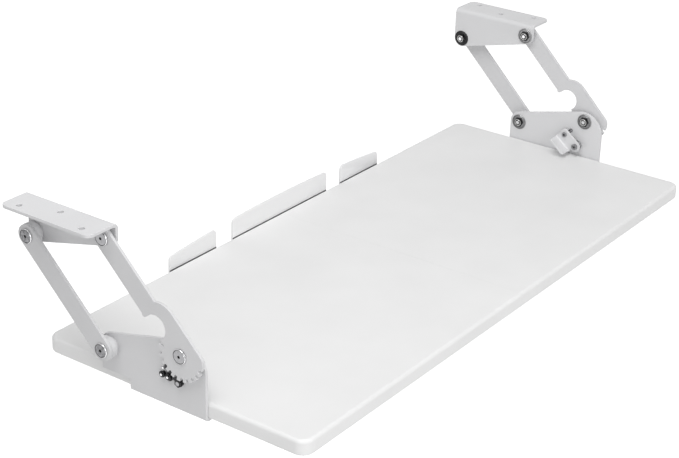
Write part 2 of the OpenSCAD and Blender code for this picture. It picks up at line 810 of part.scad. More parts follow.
// Rivet in the pawl's ear
module pawl_rivet() {
    color("silver") translate([0, lever_place[0], lever_place[1]]) rotate([lever_angle, 0, 0]) union() {
        bar_x(rivet_at, pawl_x, lever_t + button_h / 2, rivet_d / 2);
        button(rivet_at, pawl_top_x);
    }
}

module spring_stud() {
    color("silver") union() {
        bar_x(stud_place, stud_end_x, pawl_top_x + button_h / 2 - stud_end_x, stud_d / 2);
        button(stud_place, pawl_top_x + run_x);
    }
}

// Centre line of the spring: a leg from the stud, the turns, and a leg to the lever's screw
spring_steps = 21;
leg_steps = 5;
function spring_turn(i) = spring_from + (spring_to - spring_from) * i / spring_steps;
function spring_coil(i) = [
    spring_end_x - (spring_end_x - spring_x) * i / spring_steps,
    spring_r * cos(spring_turn(i)),
    spring_r * sin(spring_turn(i))
];
function spring_leg(i, dir, len) = spring_coil(i) + len * [0, cos(dir), sin(dir)];
spring_path = concat(
    [for (k = [leg_steps : -1 : 1]) spring_leg(0, stud_leg_dir, (norm(stud_at) + 2) * k / leg_steps)],
    [for (i = [0 : spring_steps]) spring_coil(i)],
    [for (k = [1 : leg_steps]) spring_leg(spring_steps, screw_leg_dir, (lever_r + 1) * k / leg_steps)]
);
spring_gap = min([
    for (i = [0 : len(spring_path) - 4], j = [i + 3 : len(spring_path) - 1])
        norm(spring_path[i] - spring_path[j])
]) - spring_wire;

// Unit vector along v
function unit(v) = v / norm(v);

// Tube with six sides along a list of points
module wire(path, r) {
    sides = 6;
    count = len(path);
    rings = [
        for (i = [0 : count - 1])
            let (
                t = unit(path[min(i + 1, count - 1)] - path[max(i - 1, 0)]),
                u = unit(cross(t, [1, 0, 0])),
                v = cross(t, u)
            )
            for (k = [0 : sides - 1]) path[i] + r * (cos(60 * k) * u + sin(60 * k) * v)
    ];
    faces = [
        for (i = [0 : count - 2], k = [0 : sides - 1])
            let (a = i * sides + k, b = i * sides + (k + 1) % sides)
            for (f = [[a, b, b + sides], [a, b + sides, a + sides]]) f
    ];
    first = [for (k = [0 : sides - 1]) sides - 1 - k];
    last = [for (k = [0 : sides - 1]) (count - 1) * sides + k];
    polyhedron(points = rings, faces = concat([first], faces, [last]));
}

module pawl_spring() {
    echo(least_gap_of_the_spring_to_itself = spring_gap);
    color("dimgray") translate([0, lever_place[0], lever_place[1]]) wire(spring_path, spring_wire / 2);
}

board(-1);  // left_board
board(1);  // right_board
rear_stop();
rear_stop_screws();
joiner_plates();
joiner_screws();
dowels();
on_side("left") desk_bracket();  // left_desk_bracket
on_side("left") front_bolt(upper_front);  // left_upper_front_bolt
on_side("left") rear_bolt(upper_rear);  // left_upper_rear_bolt
on_side("left") front_spacer(upper_front);  // left_upper_front_spacer
on_side("left") rear_spacer(upper_rear);  // left_upper_rear_spacer
on_side("left") washers([upper_front, upper_rear]);  // left_upper_washers
on_side("left") nuts([upper_front, upper_rear]);  // left_upper_nuts
on_side("left") front_arm();  // left_front_arm
on_side("left") rear_arm();  // left_rear_arm
on_side("left") base_bracket();  // left_base_bracket
on_side("left") front_bolt(lower_front);  // left_lower_front_bolt
on_side("left") rear_bolt(lower_rear);  // left_lower_rear_bolt
on_side("left") front_spacer(lower_front);  // left_lower_front_spacer
on_side("left") rear_spacer(lower_rear);  // left_lower_rear_spacer
on_side("left") washers([lower_front, lower_rear]);  // left_lower_washers
on_side("left") nuts([lower_front, lower_rear]);  // left_lower_nuts
on_side("left") base_screws();  // left_base_screws
on_side("left") lever_pivot();  // left_lever_pivot
on_side("left") lever_pivot_nut();  // left_lever_pivot_nut
on_side("left") spring_stud();  // left_spring_stud
on_side("left") pawl_spring();  // left_pawl_spring
on_side("left") release_lever();  // left_release_lever
on_side("left") lever_sleeve();  // left_lever_sleeve
on_side("left") lever_screw();  // left_lever_screw
on_side("left") ratchet_pawl();  // left_ratchet_pawl
on_side("left") pawl_rivet();  // left_pawl_rivet
on_side("right") desk_bracket();  // right_desk_bracket
on_side("right") front_bolt(upper_front);  // right_upper_front_bolt
on_side("right") rear_bolt(upper_rear);  // right_upper_rear_bolt
on_side("right") front_spacer(upper_front);  // right_upper_front_spacer
on_side("right") rear_spacer(upper_rear);  // right_upper_rear_spacer
on_side("right") washers([upper_front, upper_rear]);  // right_upper_washers
on_side("right") nuts([upper_front, upper_rear]);  // right_upper_nuts
on_side("right") front_arm();  // right_front_arm
on_side("right") rear_arm();  // right_rear_arm
on_side("right") base_bracket();  // right_base_bracket
on_side("right") front_bolt(lower_front);  // right_lower_front_bolt
on_side("right") rear_bolt(lower_rear);  // right_lower_rear_bolt
on_side("right") front_spacer(lower_front);  // right_lower_front_spacer
on_side("right") rear_spacer(lower_rear);  // right_lower_rear_spacer
on_side("right") washers([lower_front, lower_rear]);  // right_lower_washers
on_side("right") nuts([lower_front, lower_rear]);  // right_lower_nuts
on_side("right") base_screws();  // right_base_screws
on_side("right") lever_pivot();  // right_lever_pivot
on_side("right") lever_pivot_nut();  // right_lever_pivot_nut
on_side("right") spring_stud();  // right_spring_stud
on_side("right") pawl_spring();  // right_pawl_spring
on_side("right") release_lever();  // right_release_lever
on_side("right") lever_sleeve();  // right_lever_sleeve
on_side("right") lever_screw();  // right_lever_screw
on_side("right") ratchet_pawl();  // right_ratchet_pawl
on_side("right") pawl_rivet();  // right_pawl_rivet
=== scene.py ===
import json
import math

import bpy
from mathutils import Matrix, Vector


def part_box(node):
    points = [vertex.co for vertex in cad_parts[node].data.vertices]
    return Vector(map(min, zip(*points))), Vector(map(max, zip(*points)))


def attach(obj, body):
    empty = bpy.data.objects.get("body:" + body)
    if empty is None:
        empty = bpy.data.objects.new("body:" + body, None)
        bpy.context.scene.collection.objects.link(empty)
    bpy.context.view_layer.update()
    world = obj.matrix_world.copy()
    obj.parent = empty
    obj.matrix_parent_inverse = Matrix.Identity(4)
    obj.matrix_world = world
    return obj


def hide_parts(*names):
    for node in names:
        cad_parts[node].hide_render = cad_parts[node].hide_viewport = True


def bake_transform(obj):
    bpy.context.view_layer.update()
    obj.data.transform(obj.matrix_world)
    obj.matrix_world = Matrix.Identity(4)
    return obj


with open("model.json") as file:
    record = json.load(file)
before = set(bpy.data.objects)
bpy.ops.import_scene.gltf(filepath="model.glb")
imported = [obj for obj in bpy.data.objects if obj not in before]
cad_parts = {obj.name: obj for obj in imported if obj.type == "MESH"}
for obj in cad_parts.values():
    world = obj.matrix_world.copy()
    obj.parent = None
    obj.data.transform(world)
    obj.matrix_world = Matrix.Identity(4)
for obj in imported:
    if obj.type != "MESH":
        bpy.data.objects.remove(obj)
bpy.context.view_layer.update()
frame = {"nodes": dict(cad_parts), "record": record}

# The camera stands in front of the tray's left end and looks across it to the rear right.
# Its place, turn and lens come from fitting the tray's corners, pivots and screw holes.
camera = bpy.data.objects.new("camera", bpy.data.cameras.new("camera"))
bpy.context.scene.collection.objects.link(camera)
camera.location = (-1.271453, -0.938717, 0.593331)
camera.rotation_euler = [math.radians(turn) for turn in (65.00548, -1.54862, -53.85776)]
camera.data.lens = 90.02197
camera.data.sensor_width = 36.0
camera.data.clip_start = 0.05
bpy.context.scene.camera = camera
bpy.context.scene.view_settings.view_transform = "Standard"

# Soft studio light on a white surround: panels overhead on the left, in front and at the left.
# The surround itself shows as plain white to the camera, in gloss and through glass.
soft_light = 0.42
white_light = 1.0
panel_target = (0.0, -0.1, -0.1)


def either(tree, first, second):
    """A socket that is 1 where one of two kinds of ray is 1."""
    node = tree.nodes.new("ShaderNodeMath")
    node.operation = "MAXIMUM"
    tree.links.new(first, node.inputs[0])
    tree.links.new(second, node.inputs[1])
    return node.outputs[0]


def chosen(tree, factor, plain, other):
    """A socket with the first shader where the factor is 0, and the other one where it is 1."""
    node = tree.nodes.new("ShaderNodeMixShader")
    for socket, end in zip((factor, plain, other), node.inputs):
        tree.links.new(socket, end)
    return node.outputs[0]


def aimed(place, target, axis):
    """The turn that points an axis of something that stands at a place towards a target."""
    return (Vector(target) - Vector(place)).to_track_quat(axis, "Y").to_euler()


world = bpy.data.worlds.new("studio")
bpy.context.scene.world = world
world.use_nodes = True
sky = world.node_tree
sky.nodes.clear()
rays = sky.nodes.new("ShaderNodeLightPath").outputs
straight = either(sky, rays["Is Camera Ray"], rays["Is Transmission Ray"])
shades = []
for strength in (soft_light, white_light):
    shade = sky.nodes.new("ShaderNodeBackground")
    shade.inputs["Color"].default_value = (1.0, 1.0, 1.0, 1.0)
    shade.inputs["Strength"].default_value = strength
    shades.append(shade.outputs[0])
surround = sky.nodes.new("ShaderNodeOutputWorld")
seen = either(sky, straight, rays["Is Glossy Ray"])
sky.links.new(chosen(sky, seen, *shades), surround.inputs["Surface"])

for name, place, size, power in (
    ("panel_overhead", (-0.72, -0.3, 1.65), 1.3, 20.5),
    ("panel_front", (-0.5, -2.2, 0.7), 1.4, 14.0),
    ("panel_left", (-1.7, -1.2, 0.1), 0.9, 5.5),
):
    panel = bpy.data.objects.new(name, bpy.data.lights.new(name, "AREA"))
    panel.data.shape = "SQUARE"
    panel.data.size = size
    panel.data.energy = power
    panel.location = place
    panel.rotation_euler = aimed(place, panel_target, "-Z")
    bpy.context.scene.collection.objects.link(panel)

# Plain pale floor of the room, 72 cm below the desk's underside.
# It shows as the white surround does, less the shadow that falls on it.
floor_z = -0.72
floor_glow = 0.75
bpy.ops.object.select_all(action="DESELECT")
bpy.ops.mesh.primitive_plane_add(size=14.0, location=(2.0, 2.0, floor_z))
floor = bpy.context.object
floor.name = "floor"
paint = bpy.data.materials.new("floor_paint")
paint.use_nodes = True
tree = paint.node_tree
tree.nodes.clear()
rays = tree.nodes.new("ShaderNodeLightPath").outputs
matt = tree.nodes.new("ShaderNodeBsdfDiffuse")
matt.inputs["Color"].default_value = (0.8, 0.8, 0.8, 1.0)
glow = tree.nodes.new("ShaderNodeEmission")
glow.inputs["Strength"].default_value = floor_glow
both = tree.nodes.new("ShaderNodeAddShader")
tree.links.new(matt.outputs[0], both.inputs[0])
tree.links.new(glow.outputs[0], both.inputs[1])
seen = either(tree, rays["Is Camera Ray"], rays["Is Glossy Ray"])
out = tree.nodes.new("ShaderNodeOutputMaterial")
tree.links.new(chosen(tree, seen, matt.outputs[0], both.outputs[0]), out.inputs["Surface"])
floor.data.materials.append(paint)

# Black flags, as a photographer sets them, that only show as dark streaks in the polished metal.
# Two stand beside the camera, one over it, and three beyond the tray's right end.
cloth = bpy.data.materials.new("flag_cloth")
cloth.use_nodes = True
cloth_inputs = cloth.node_tree.nodes["Principled BSDF"].inputs
cloth_inputs["Base Color"].default_value = (0.01, 0.01, 0.01, 1.0)
cloth_inputs["Roughness"].default_value = 0.9
flag_target = (-0.35, -0.05, -0.05)
for name, place, width, height in (
    ("flag_left", (-2.1, 0.1, 0.3), 0.9, 1.5),
    ("flag_front", (-0.9, -1.7, 0.25), 0.6, 1.6),
    ("flag_above", (-1.0, -0.9, 1.35), 1.0, 0.35),
    ("flag_right_low", (0.96, -1.13, 0.38), 0.4, 0.3),
    ("flag_right_high", (0.96, -0.27, 1.13), 0.5, 0.25),
    ("flag_rear", (0.9, 0.9, 1.2), 0.5, 0.3),
):
    bpy.ops.mesh.primitive_plane_add(size=1.0, location=place)
    flag = bpy.context.object
    flag.name = name
    flag.scale = (width, height, 1.0)
    flag.rotation_euler = aimed(place, flag_target, "Z")
    flag.visible_camera = False
    flag.visible_diffuse = False
    flag.visible_shadow = False
    flag.data.materials.append(cloth)

# The two boards: furniture board with a smooth warm white laminate, butted at the seam.
# Their plan corners and their edges are routed round before the laminate is pressed on.
record = frame["record"]
body_with = {node: body for body, nodes in record["behaviour"]["bodies"].items() for node in nodes}
corner_r = 0.012
top_r = 0.0035
under_r = 0.002
tiny = 0.00001


def surface(name, low, high, metallic, rough, grain, relief, stretch=(1.0, 1.0, 1.0), drift=14.0):
    """A material that drifts between two colours, with a fine grain in its gloss and its relief."""
    rough_play = 0.05
    relief_depth = 0.0001
    made = bpy.data.materials.new(name)
    made.use_nodes = True
    nodes, links = made.node_tree.nodes, made.node_tree.links
    shader = nodes["Principled BSDF"].inputs
    shader["Metallic"].default_value = metallic
    place = nodes.new("ShaderNodeTexCoord").outputs["Object"]
    turn = nodes.new("ShaderNodeMapping")
    turn.inputs["Scale"].default_value = stretch
    links.new(place, turn.inputs["Vector"])
    cloud = nodes.new("ShaderNodeTexNoise")
    cloud.inputs["Scale"].default_value = drift
    cloud.inputs["Detail"].default_value = 3.0
    links.new(place, cloud.inputs["Vector"])
    tint = nodes.new("ShaderNodeValToRGB")
    for stop, position, colour in zip(tint.color_ramp.elements, (0.3, 0.7), (low, high)):
        stop.position = position
        stop.color = (*colour, 1.0)
    links.new(cloud.outputs["Fac"], tint.inputs["Fac"])
    links.new(tint.outputs["Color"], shader["Base Color"])
    fine = nodes.new("ShaderNodeTexNoise")
    fine.inputs["Scale"].default_value = grain
    fine.inputs["Detail"].default_value = 4.0
    links.new(turn.outputs["Vector"], fine.inputs["Vector"])
    spread = nodes.new("ShaderNodeMapRange")
    spread.inputs["To Min"].default_value = rough - rough_play
    spread.inputs["To Max"].default_value = rough + rough_play
    links.new(fine.outputs["Fac"], spread.inputs["Value"])
    links.new(spread.outputs["Result"], shader["Roughness"])
    bump = nodes.new("ShaderNodeBump")
    bump.inputs["Strength"].default_value = relief
    bump.inputs["Distance"].default_value = relief_depth
    links.new(fine.outputs["Fac"], bump.inputs["Height"])
    links.new(bump.outputs["Normal"], shader["Normal"])
    return made


def alone(piece):
    """Makes a piece the only one that is selected, and the active one."""
    bpy.ops.object.select_all(action="DESELECT")
    piece.select_set(True)
    bpy.context.view_layer.objects.active = piece


def smoothed(piece):
    """Smooth shading with hard edges kept and flat faces kept flat."""
    hard_edge = 38.0
    alone(piece)
    bpy.ops.object.shade_smooth_by_angle(angle=math.radians(hard_edge))
    even = piece.modifiers.new("even", "WEIGHTED_NORMAL")
    even.keep_sharp = True
    bpy.ops.object.modifier_apply(modifier="even")


def chosen_edges(piece, wanted):
    """Selects the edges of a piece whose two ends pass a test, and nothing else."""
    bpy.context.tool_settings.mesh_select_mode = (False, True, False)
    bpy.ops.object.mode_set(mode="EDIT")
    bpy.ops.mesh.select_all(action="DESELECT")
    bpy.ops.object.mode_set(mode="OBJECT")
    points = piece.data.vertices
    for edge in piece.data.edges:
        edge.select = wanted(*(points[i].co for i in edge.vertices))
    bpy.ops.object.mode_set(mode="EDIT")


def stands_for(piece, node):
    """Lets a finished piece take the place of its CAD node, which it hides."""
    piece.name = node + "_finished"
    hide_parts(node)


def fitted(piece, node):
    """Lets a finished piece stand for its CAD node, on the node's body."""
    stands_for(piece, node)
    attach(piece, body_with[node])
    return piece


laminate = surface("laminate", (0.80, 0.80, 0.80), (0.83, 0.83, 0.83), 0.0, 0.42, 1500.0, 0.04)
for node in ("left_board", "right_board"):
    low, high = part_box(node)
    bpy.ops.object.select_all(action="DESELECT")
    bpy.ops.mesh.primitive_cube_add(size=1.0, location=(low + high) / 2)
    board = bpy.context.object
    board.scale = high - low
    bpy.ops.object.transform_apply(location=True, rotation=False, scale=True)
    end, seam = (low.x, high.x) if node == "left_board" else (high.x, low.x)
    chosen_edges(board, lambda a, b: (
        abs(a.x - end) + abs(b.x - end) < tiny and abs(a.z - b.z) > tiny))
    bpy.ops.mesh.bevel(offset=corner_r, segments=12, affect="EDGES")
    for level, radius, steps in ((high.z, top_r, 6), (low.z, under_r, 4)):
        bpy.ops.object.mode_set(mode="OBJECT")
        chosen_edges(board, lambda a, b: (
            abs(a.z - level) + abs(b.z - level) < tiny
            and abs(a.x - seam) + abs(b.x - seam) > tiny))
        bpy.ops.mesh.bevel(offset=radius, segments=steps, affect="EDGES")
    bpy.ops.object.mode_set(mode="OBJECT")
    smoothed(board)
    board.data.materials.append(laminate)
    fitted(board, node)

# Two stamped plates of zinc-plated steel lie across the seam, under the boards.
# Four wood screws, zinc-plated too, hold each of them.
stamped_edge = 0.0003
screw_edge = 0.0001


def merged(node):
    """A copy of a CAD node's mesh, its loose triangles merged into whole faces."""
    weld = 0.000002
    flat_angle = 0.2
    piece = bpy.data.objects.new(node, frame["nodes"][node].data.copy())
    bpy.context.scene.collection.objects.link(piece)
    alone(piece)
    bpy.context.tool_settings.mesh_select_mode = (False, True, False)
    bpy.ops.object.mode_set(mode="EDIT")
    bpy.ops.mesh.select_all(action="SELECT")
    bpy.ops.mesh.remove_doubles(threshold=weld)
    bpy.ops.mesh.dissolve_limited(angle_limit=math.radians(flat_angle))
    bpy.ops.object.mode_set(mode="OBJECT")
    return piece


def coated(piece, finish):
    """Gives a piece one finish all over."""
    piece.data.materials.clear()
    piece.data.materials.append(finish)


def touched(piece, finish, wanted):
    """Gives the faces of a piece that pass a test a finish of their own."""
    piece.data.materials.append(finish)
    last = len(piece.data.materials) - 1
    for face in piece.data.polygons:
        if wanted(face):
            face.material_index = last


def refined(node, finish, width, steps=2, spared=None):
    """A finished copy of a CAD node with its hard edges broken by a narrow bevel.
    An edge whose two ends pass the test spared stays sharp."""
    hard_edge = 35.0
    piece = merged(node)
    if width > 0.0:
        bpy.ops.object.mode_set(mode="EDIT")
        bpy.ops.mesh.select_all(action="DESELECT")
        bpy.ops.mesh.edges_select_sharp(sharpness=math.radians(hard_edge))
        bpy.ops.object.mode_set(mode="OBJECT")
        points = piece.data.vertices
        for edge in piece.data.edges:
            if spared and edge.select and all(spared(points[i].co) for i in edge.vertices):
                edge.select = False
        bpy.ops.object.mode_set(mode="EDIT")
        bpy.ops.mesh.bevel(offset=width, segments=steps, affect="EDGES", clamp_overlap=False)
        bpy.ops.object.mode_set(mode="OBJECT")
    smoothed(piece)
    coated(piece, finish)
    return fitted(piece, node)


zinc = surface("zinc", (0.50, 0.51, 0.52), (0.62, 0.62, 0.63), 1.0, 0.26, 2600.0, 0.10, drift=60.0)
plate_zinc = surface("plate_zinc", (0.52, 0.53, 0.55), (0.62, 0.63, 0.64), 1.0, 0.38, 900.0, 0.12,
                     stretch=(0.2, 1.0, 1.0), drift=30.0)
refined("joiner_plates", plate_zinc, stamped_edge)
refined("joiner_screws", zinc, screw_edge)

# Beech dowels line the two boards up at the seam.
# They are turned, chamfered at both ends, and glued into drilled holes.
beech = surface("beech", (0.50, 0.33, 0.18), (0.62, 0.43, 0.25), 0.0, 0.6, 700.0, 0.2,
                stretch=(0.1, 1.0, 1.0))
dowel_edge = 0.0005
refined("dowels", beech, dowel_edge)

# Rear stop: one laser-cut steel strip, powder coated, screwed to the boards' edge from behind.
# Its face towards the boards is painted near black just under their top: painted shade in the
# joint.
stop_coat = surface("stop_coat", (0.82, 0.82, 0.83), (0.86, 0.86, 0.86), 0.0, 0.45, 1300.0, 0.10)
joint = surface("joint", (0.03, 0.03, 0.03), (0.05, 0.05, 0.05), 0.0, 0.7, 1300.0, 0.10)
stop_edge = 0.0004
shade_band_drop = 0.0003
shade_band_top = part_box("left_board")[1].z - shade_band_drop
stop = refined("rear_stop", stop_coat, stop_edge)
bpy.context.tool_settings.mesh_select_mode = (False, False, True)
bpy.ops.object.mode_set(mode="EDIT")
bpy.ops.mesh.select_all(action="SELECT")
bpy.ops.mesh.bisect(plane_co=(0.0, 0.0, shade_band_top), plane_no=(0.0, 0.0, 1.0))
bpy.ops.object.mode_set(mode="OBJECT")
# The stop's faces towards the boards under that cut get the near-black painted shade.
touched(stop, joint, lambda face: face.normal.y < -0.9 and face.center.z < shade_band_top)
refined("rear_stop_screws", zinc, screw_edge)

# Desk brackets: laser-cut sheet steel, bent out into the flange that is screwed up into the desk.
# The powder coat is pale silver grey, with a light orange peel.
# The bend runs out above the front lobe, where it is too slight to take a broken edge.
coat = surface("coat", (0.66, 0.66, 0.67), (0.70, 0.70, 0.71), 0.0, 0.42, 1100.0, 0.12)
sheet_edge = 0.00035
sheet_steps = 3
bend_x = -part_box("left_desk_bracket")[1].x
bend_z = -0.0053
run_out = 0.0003
for side in ("left", "right"):
    refined(side + "_desk_bracket", coat, sheet_edge, sheet_steps, spared=lambda point: (
        abs(point.x) < bend_x + run_out and point.z > bend_z))

# Base brackets: the same sheet and coat, bent in under the boards, which they carry.
# Zinc-plated wood screws go up through their flanges into the boards.
for side in ("left", "right"):
    refined(side + "_base_bracket", coat, sheet_edge, sheet_steps)
    refined(side + "_base_screws", zinc, screw_edge)

# The arms: flat bars, laser-cut from thicker sheet and powder coated, that turn on the pivot bolts.
# The front one ends in the toothed sector that the pawl locks.
arm_coat = surface("arm_coat", (0.63, 0.63, 0.64), (0.67, 0.67, 0.68), 0.0, 0.42, 1100.0, 0.12)
for side in ("left", "right"):
    refined(side + "_front_arm", arm_coat, sheet_edge, sheet_steps)
    refined(side + "_rear_arm", arm_coat, sheet_edge, sheet_steps)

# Turned aluminium spacers, satin as they come from the lathe, keep the arms off the brackets.
# Those behind the front arms are plain rings, and those behind the rear arms are stepped drums.
satin = surface("satin", (0.62, 0.62, 0.63), (0.70, 0.70, 0.71), 0.0, 0.34, 1600.0, 0.08)
ring_edge = 0.0003
drum_edge = 0.0004
for side in ("left", "right"):
    for level in ("upper", "lower"):
        refined("%s_%s_front_spacer" % (side, level), satin, ring_edge)
        refined("%s_%s_rear_spacer" % (side, level), satin, drum_edge)

# Pivot bolts: nickel-plated steel, put in from outside. The low head has a ground face, painted
# darker on the rear bolts as painted shade, with a hexagon socket in it and a polished rim.
# Near black is painted as shade in the socket, in a groove round the face, under the head and in
# the thread's roots.
# The last turns of the thread show beyond the nut, and the end is chamfered.
face_side, bright, painted_shade = range(3)
shank_r = 0.003
root_r = 0.0026
crest_r = 0.00298
pitch = 0.0008
crest_at = 0.4 * pitch
turns = 7
thread_foot = 0.0007
thread_top = 0.0070
head_h = 0.0019
key_r = 0.0015
key_depth = 0.0008
socket_r = 0.0013
socket_low = 0.0008
socket_high = 0.0015


def finish_at(rings, out, up):
    """Which finish a turned piece has at a distance from its axis and a height.
    It is the nearest band's, or the first or the last ring's on the cap of that end."""
    if out < min(radius for radius, _, _ in rings) / 2:
        return rings[0 if up < (rings[0][1] + rings[-1][1]) / 2 else -1][2]
    return min(zip(rings, rings[1:]), key=lambda band: math.hypot(
        (band[0][0] + band[1][0]) / 2 - out, (band[0][1] + band[1][1]) / 2 - up))[1][2]


def turned(sides, finishes, rings):
    """A piece turned about the Z axis: a circle drawn out from ring to ring.
    A ring is its radius, its height and which of the finishes the band up to it has."""
    weld = 0.000001
    bpy.ops.object.select_all(action="DESELECT")
    bpy.context.tool_settings.mesh_select_mode = (True, False, False)
    first_r, first_z, _ = rings[0]
    bpy.ops.mesh.primitive_circle_add(vertices=sides, radius=first_r, location=(0.0, 0.0, first_z))
    piece = bpy.context.object
    bpy.ops.object.transform_apply(location=True, rotation=False, scale=False)
    bpy.ops.object.mode_set(mode="EDIT")
    bpy.ops.mesh.select_all(action="SELECT")
    for (radius, height, _), (next_r, next_z, _) in zip(rings, rings[1:]):
        bpy.ops.mesh.extrude_region_move(
            TRANSFORM_OT_translate={"value": (0.0, 0.0, next_z - height)})
        grow = next_r / radius
        bpy.ops.transform.resize(value=(grow, grow, 1.0), center_override=(0.0, 0.0, next_z))
    bpy.ops.mesh.select_all(action="SELECT")
    if rings[0][:2] == rings[-1][:2]:
        bpy.ops.mesh.remove_doubles(threshold=weld)
    else:
        bpy.ops.mesh.select_all(action="DESELECT")
        bpy.ops.mesh.select_non_manifold()
        bpy.ops.mesh.fill_holes(sides=0)
    bpy.ops.mesh.select_all(action="SELECT")
    bpy.ops.mesh.normals_make_consistent(inside=False)
    bpy.ops.object.mode_set(mode="OBJECT")
    for finish in finishes:
        piece.data.materials.append(finish)
    flat = math.cos(math.pi / sides)
    for face in piece.data.polygons:
        face.material_index = finish_at(rings, face.center.xy.length / flat, face.center.z)
    return piece


def seated(model, at, way):
    """A copy of a turned piece with its own mesh, stood at a point with its axis along X.
    Its top looks towards +X where way is 1, and towards -X where way is -1."""
    piece = bpy.data.objects.new(model.name, model.data.copy())
    bpy.context.scene.collection.objects.link(piece)
    piece.location = at
    piece.rotation_euler = (0.0, math.radians(90.0 * way), 0.0)
    alone(piece)
    bpy.ops.object.transform_apply(location=True, rotation=True, scale=False)
    return piece


def end_of(node, way):
    """The middle of that end of a CAD node's box which looks towards +X (way 1) or -X (way -1)."""
    low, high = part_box(node)
    spot = (low + high) / 2
    spot.x = high.x if way > 0 else low.x
    return spot


ground = surface("ground", (0.30, 0.30, 0.31), (0.38, 0.38, 0.39), 1.0, 0.30, 2400.0, 0.08,
                 drift=500.0)
# A darker copy of the ground metal for the rear bolts' faces: painted shade.
shaded_ground = surface("shaded_ground", (0.12, 0.12, 0.125), (0.30, 0.30, 0.31), 1.0, 0.26, 2400.0, 0.08,
               drift=600.0)
polished = surface("polished", (0.74, 0.74, 0.75), (0.86, 0.86, 0.87), 1.0, 0.10, 2400.0, 0.04,
                   drift=300.0)
# Near black: painted shade in recesses and grooves, and the own colour of one black washer.
black_and_painted_shade = surface("black_and_painted_shade", (0.015, 0.015, 0.016), (0.03, 0.03, 0.031), 0.6, 0.35, 1200.0, 0.10,
                drift=300.0)
for part, face_finish in (("front_bolt", ground), ("rear_bolt", shaded_ground)):
    low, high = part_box("left_upper_" + part)
    length = high.x - low.x
    head_r = (high.z - low.z) / 2
    rings = [(0.0014, 0.0, bright), (0.0020, 0.00015, bright), (0.0027, thread_foot, painted_shade)]
    for turn in range(turns):
        foot = thread_foot + turn * pitch
        rings += [(crest_r, foot + crest_at, bright), (root_r, foot + pitch, painted_shade)]
    base = length - head_h
    rings += [
        (shank_r, thread_top, bright),
        (shank_r, base, bright),
        (head_r - 0.0002, base, painted_shade),
        (head_r, base + 0.0003, painted_shade),
        (head_r, base + 0.0010, bright),
        (head_r - 0.0001, base + 0.0013, bright),
        (head_r - 0.0004, base + 0.0016, bright),
        (head_r - 0.0009, base + 0.0015, painted_shade),
        (head_r - 0.0011, base + 0.0017, face_side),
        (head_r - 0.0030, base + 0.00184, face_side),
        (0.0022, base + head_h, face_side),
        (0.0020, base + head_h - 0.0001, face_side),
    ]
    bolt = turned(48, [face_finish, polished, black_and_painted_shade], rings)
    bpy.ops.object.select_all(action="DESELECT")
    bpy.ops.mesh.primitive_cylinder_add(
        vertices=6, radius=key_r, depth=2 * key_depth, location=(0.0, 0.0, length))
    key = bpy.context.object
    cut = bolt.modifiers.new("socket", "BOOLEAN")
    cut.operation = "DIFFERENCE"
    cut.solver = "FAST"
    cut.object = key
    alone(bolt)
    bpy.ops.object.modifier_apply(modifier="socket")
    bpy.data.objects.remove(key)
    # Faces deep in the socket take the near-black painted shade.
    for face in bolt.data.polygons:
        up = face.center.z - base
        if face.center.xy.length < socket_r and socket_low < up < socket_high:
            face.material_index = painted_shade
    smoothed(bolt)
    for side, outward in (("left", -1), ("right", 1)):
        for level in ("upper", "lower"):
            node = "%s_%s_%s" % (side, level, part)
            fitted(seated(bolt, end_of(node, -outward), outward), node)
    bpy.data.objects.remove(bolt)

# Washers: pressed steel with two shallow rings, dull zinc, between the brackets and the nuts.
# The rings' grooves are painted near black as painted shade.
# The right upper rear one is black all over.
plain, groove_shade_and_black = range(2)
hole_r = 0.00305
washer_r = 0.00875


def pair_of(model, side, level, x, way):
    """Copies of a turned piece at the rear and the front pivot of a level, in that order."""
    spots = [end_of("%s_%s_%s_bolt" % (side, level, end), way) for end in ("rear", "front")]
    return [seated(model, (x, spot.y, spot.z), way) for spot in spots]


def together(pieces):
    """Joins copies that stand for one node into one piece."""
    bpy.ops.object.select_all(action="DESELECT")
    for piece in pieces:
        piece.select_set(True)
    bpy.context.view_layer.objects.active = pieces[0]
    bpy.ops.object.join()
    return pieces[0]


dull = surface("dull", (0.30, 0.30, 0.305), (0.40, 0.40, 0.405), 1.0, 0.34, 2400.0, 0.10,
               drift=300.0)
low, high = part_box("left_upper_washers")
thick = high.x - low.x
washer = turned(56, [dull, black_and_painted_shade], [
    (hole_r, 0.0, plain),
    (washer_r - 0.0002, 0.0, plain),
    (washer_r, 0.0002, plain),
    (washer_r, thick - 0.0003, plain),
    (washer_r - 0.0003, thick, plain),
    (washer_r - 0.0009, thick, plain),
    (washer_r - 0.0011, thick - 0.0002, groove_shade_and_black),
    (washer_r - 0.0014, thick - 0.0002, groove_shade_and_black),
    (washer_r - 0.0016, thick, plain),
    (washer_r - 0.0023, thick, plain),
    (washer_r - 0.0025, thick - 0.00015, groove_shade_and_black),
    (washer_r - 0.0027, thick, plain),
    (hole_r, thick, plain),
    (hole_r, 0.0, plain),
])
smoothed(washer)
for side, outward in (("left", -1), ("right", 1)):
    for level in ("upper", "lower"):
        node = "%s_%s_washers" % (side, level)
        pair = pair_of(washer, side, level, end_of(node, outward).x, -outward)
        if node == "right_upper_washers":
            for face in pair[0].data.polygons:
                face.material_index = groove_shade_and_black
        fitted(together(pair), node)
bpy.data.objects.remove(washer)

